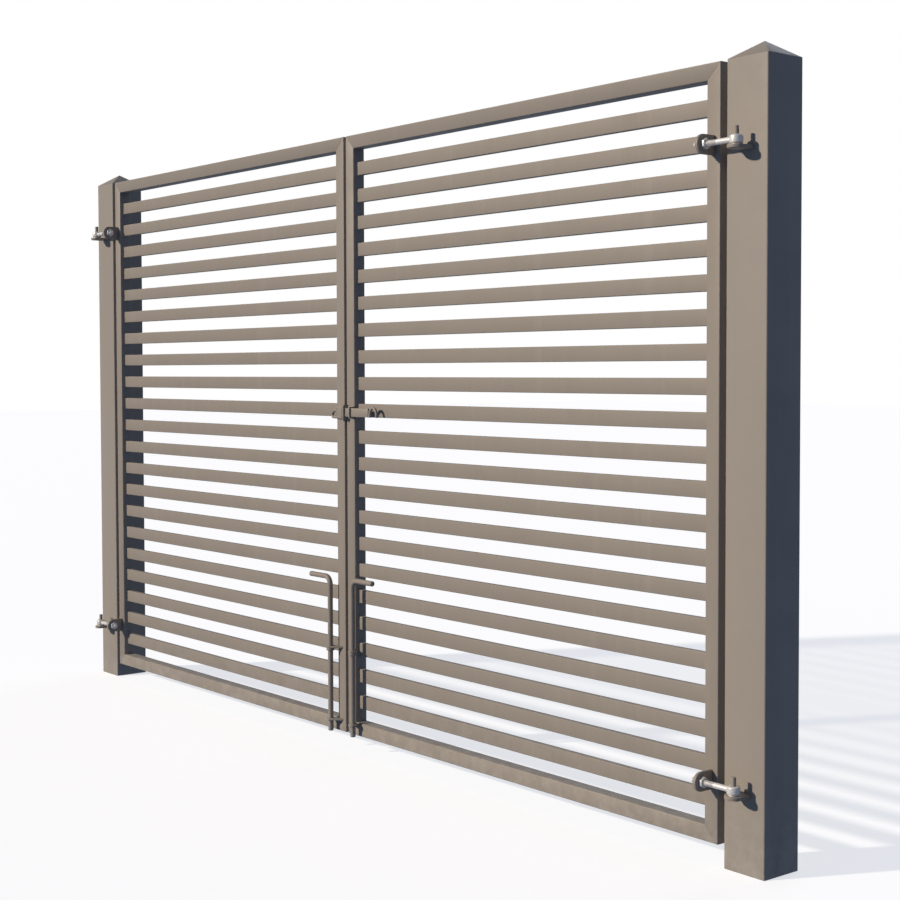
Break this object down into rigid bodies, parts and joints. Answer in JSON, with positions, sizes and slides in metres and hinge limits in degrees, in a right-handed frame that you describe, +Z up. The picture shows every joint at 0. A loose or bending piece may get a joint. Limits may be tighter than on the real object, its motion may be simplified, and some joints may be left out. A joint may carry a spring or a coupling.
{
  "type": "double leaf garden gate",
  "caption": "Double-leaf slatted metal driveway gate on two square posts, with eye-bolt hinges, drop rods and a sliding latch.",
  "frame": {"origin": "on the ground under the middle of the gate, halfway between the front of the hinge lugs and the back of the posts", "axes": "+X along the gate's width to the leaf with the sliding bolt, -Y out of the face with the hinges and the latch, +Z up"},
  "size_m": [3.24, 0.179, 1.89],
  "materials": {
    "powder_coat": "fine satin powder coat, warm grey-brown",
    "zinc_plate": "bright zinc plate"
  },
  "bodies": {
    "posts": {"left_post": "powder_coat", "left_post_cap": "powder_coat", "left_upper_gudgeon": "powder_coat", "left_lower_gudgeon": "powder_coat", "left_upper_hinge_washer": "zinc_plate", "left_lower_hinge_washer": "zinc_plate", "right_post": "powder_coat", "right_post_cap": "powder_coat", "right_upper_gudgeon": "powder_coat", "right_lower_gudgeon": "powder_coat", "right_upper_hinge_washer": "zinc_plate", "right_lower_hinge_washer": "zinc_plate"},
    "left_leaf": {"left_hinge_stile": "powder_coat", "left_meeting_stile": "powder_coat", "left_top_rail": "powder_coat", "left_bottom_rail": "powder_coat", "left_slat_panel": "powder_coat", "left_upper_rod_guide": "powder_coat", "left_lower_rod_guide": "powder_coat", "left_upper_eye_bolt": "zinc_plate", "left_upper_hinge_lug": "powder_coat", "left_upper_inner_nut": "zinc_plate", "left_upper_outer_nut": "zinc_plate", "left_lower_eye_bolt": "zinc_plate", "left_lower_hinge_lug": "powder_coat", "left_lower_inner_nut": "zinc_plate", "left_lower_outer_nut": "zinc_plate", "left_pull_hoop": "powder_coat", "latch_keeper": "powder_coat"},
    "right_leaf": {"right_hinge_stile": "powder_coat", "right_meeting_stile": "powder_coat", "right_top_rail": "powder_coat", "right_bottom_rail": "powder_coat", "right_slat_panel": "powder_coat", "right_upper_rod_guide": "powder_coat", "right_lower_rod_guide": "powder_coat", "right_upper_eye_bolt": "zinc_plate", "right_upper_hinge_lug": "powder_coat", "right_upper_inner_nut": "zinc_plate", "right_upper_outer_nut": "zinc_plate", "right_lower_eye_bolt": "zinc_plate", "right_lower_hinge_lug": "powder_coat", "right_lower_inner_nut": "zinc_plate", "right_lower_outer_nut": "zinc_plate", "latch_guide": "powder_coat"},
    "left_rod_slider": {"left_rod_stop_ring": "powder_coat"},
    "left_rod": {"left_drop_rod": "powder_coat"},
    "right_rod_slider": {"right_rod_stop_ring": "powder_coat"},
    "right_rod": {"right_drop_rod": "powder_coat"},
    "latch": {"latch_bolt": "powder_coat", "latch_handle": "powder_coat"}
  },
  "joints": [
    {"name": "left_leaf_swing", "type": "hinge", "parent": "posts", "child": "left_leaf", "pos_m": [-1.56, -0.0665, 1], "axis": [0, 0, -1], "range_deg": [0, 110]},
    {"name": "right_leaf_swing", "type": "hinge", "parent": "posts", "child": "right_leaf", "pos_m": [1.56, -0.0665, 1], "axis": [0, 0, 1], "range_deg": [0, 110]},
    {"name": "left_rod_drop", "type": "slide", "parent": "left_leaf", "child": "left_rod_slider", "axis": [0, 0, -1], "range_m": [0, 0.12]},
    {"name": "left_rod_turn", "type": "hinge", "parent": "left_rod_slider", "child": "left_rod", "pos_m": [-0.058, -0.0505, 0.3], "axis": [0, 0, 1], "range_deg": [0, 90]},
    {"name": "right_rod_drop", "type": "slide", "parent": "right_leaf", "child": "right_rod_slider", "axis": [0, 0, -1], "range_m": [0, 0.12]},
    {"name": "right_rod_turn", "type": "hinge", "parent": "right_rod_slider", "child": "right_rod", "pos_m": [0.058, -0.0505, 0.3], "axis": [0, 0, -1], "range_deg": [0, 90]},
    {"name": "latch_throw", "type": "slide", "parent": "right_leaf", "child": "latch", "axis": [-1, 0, 0], "range_m": [0, 0.022]}
  ]
}
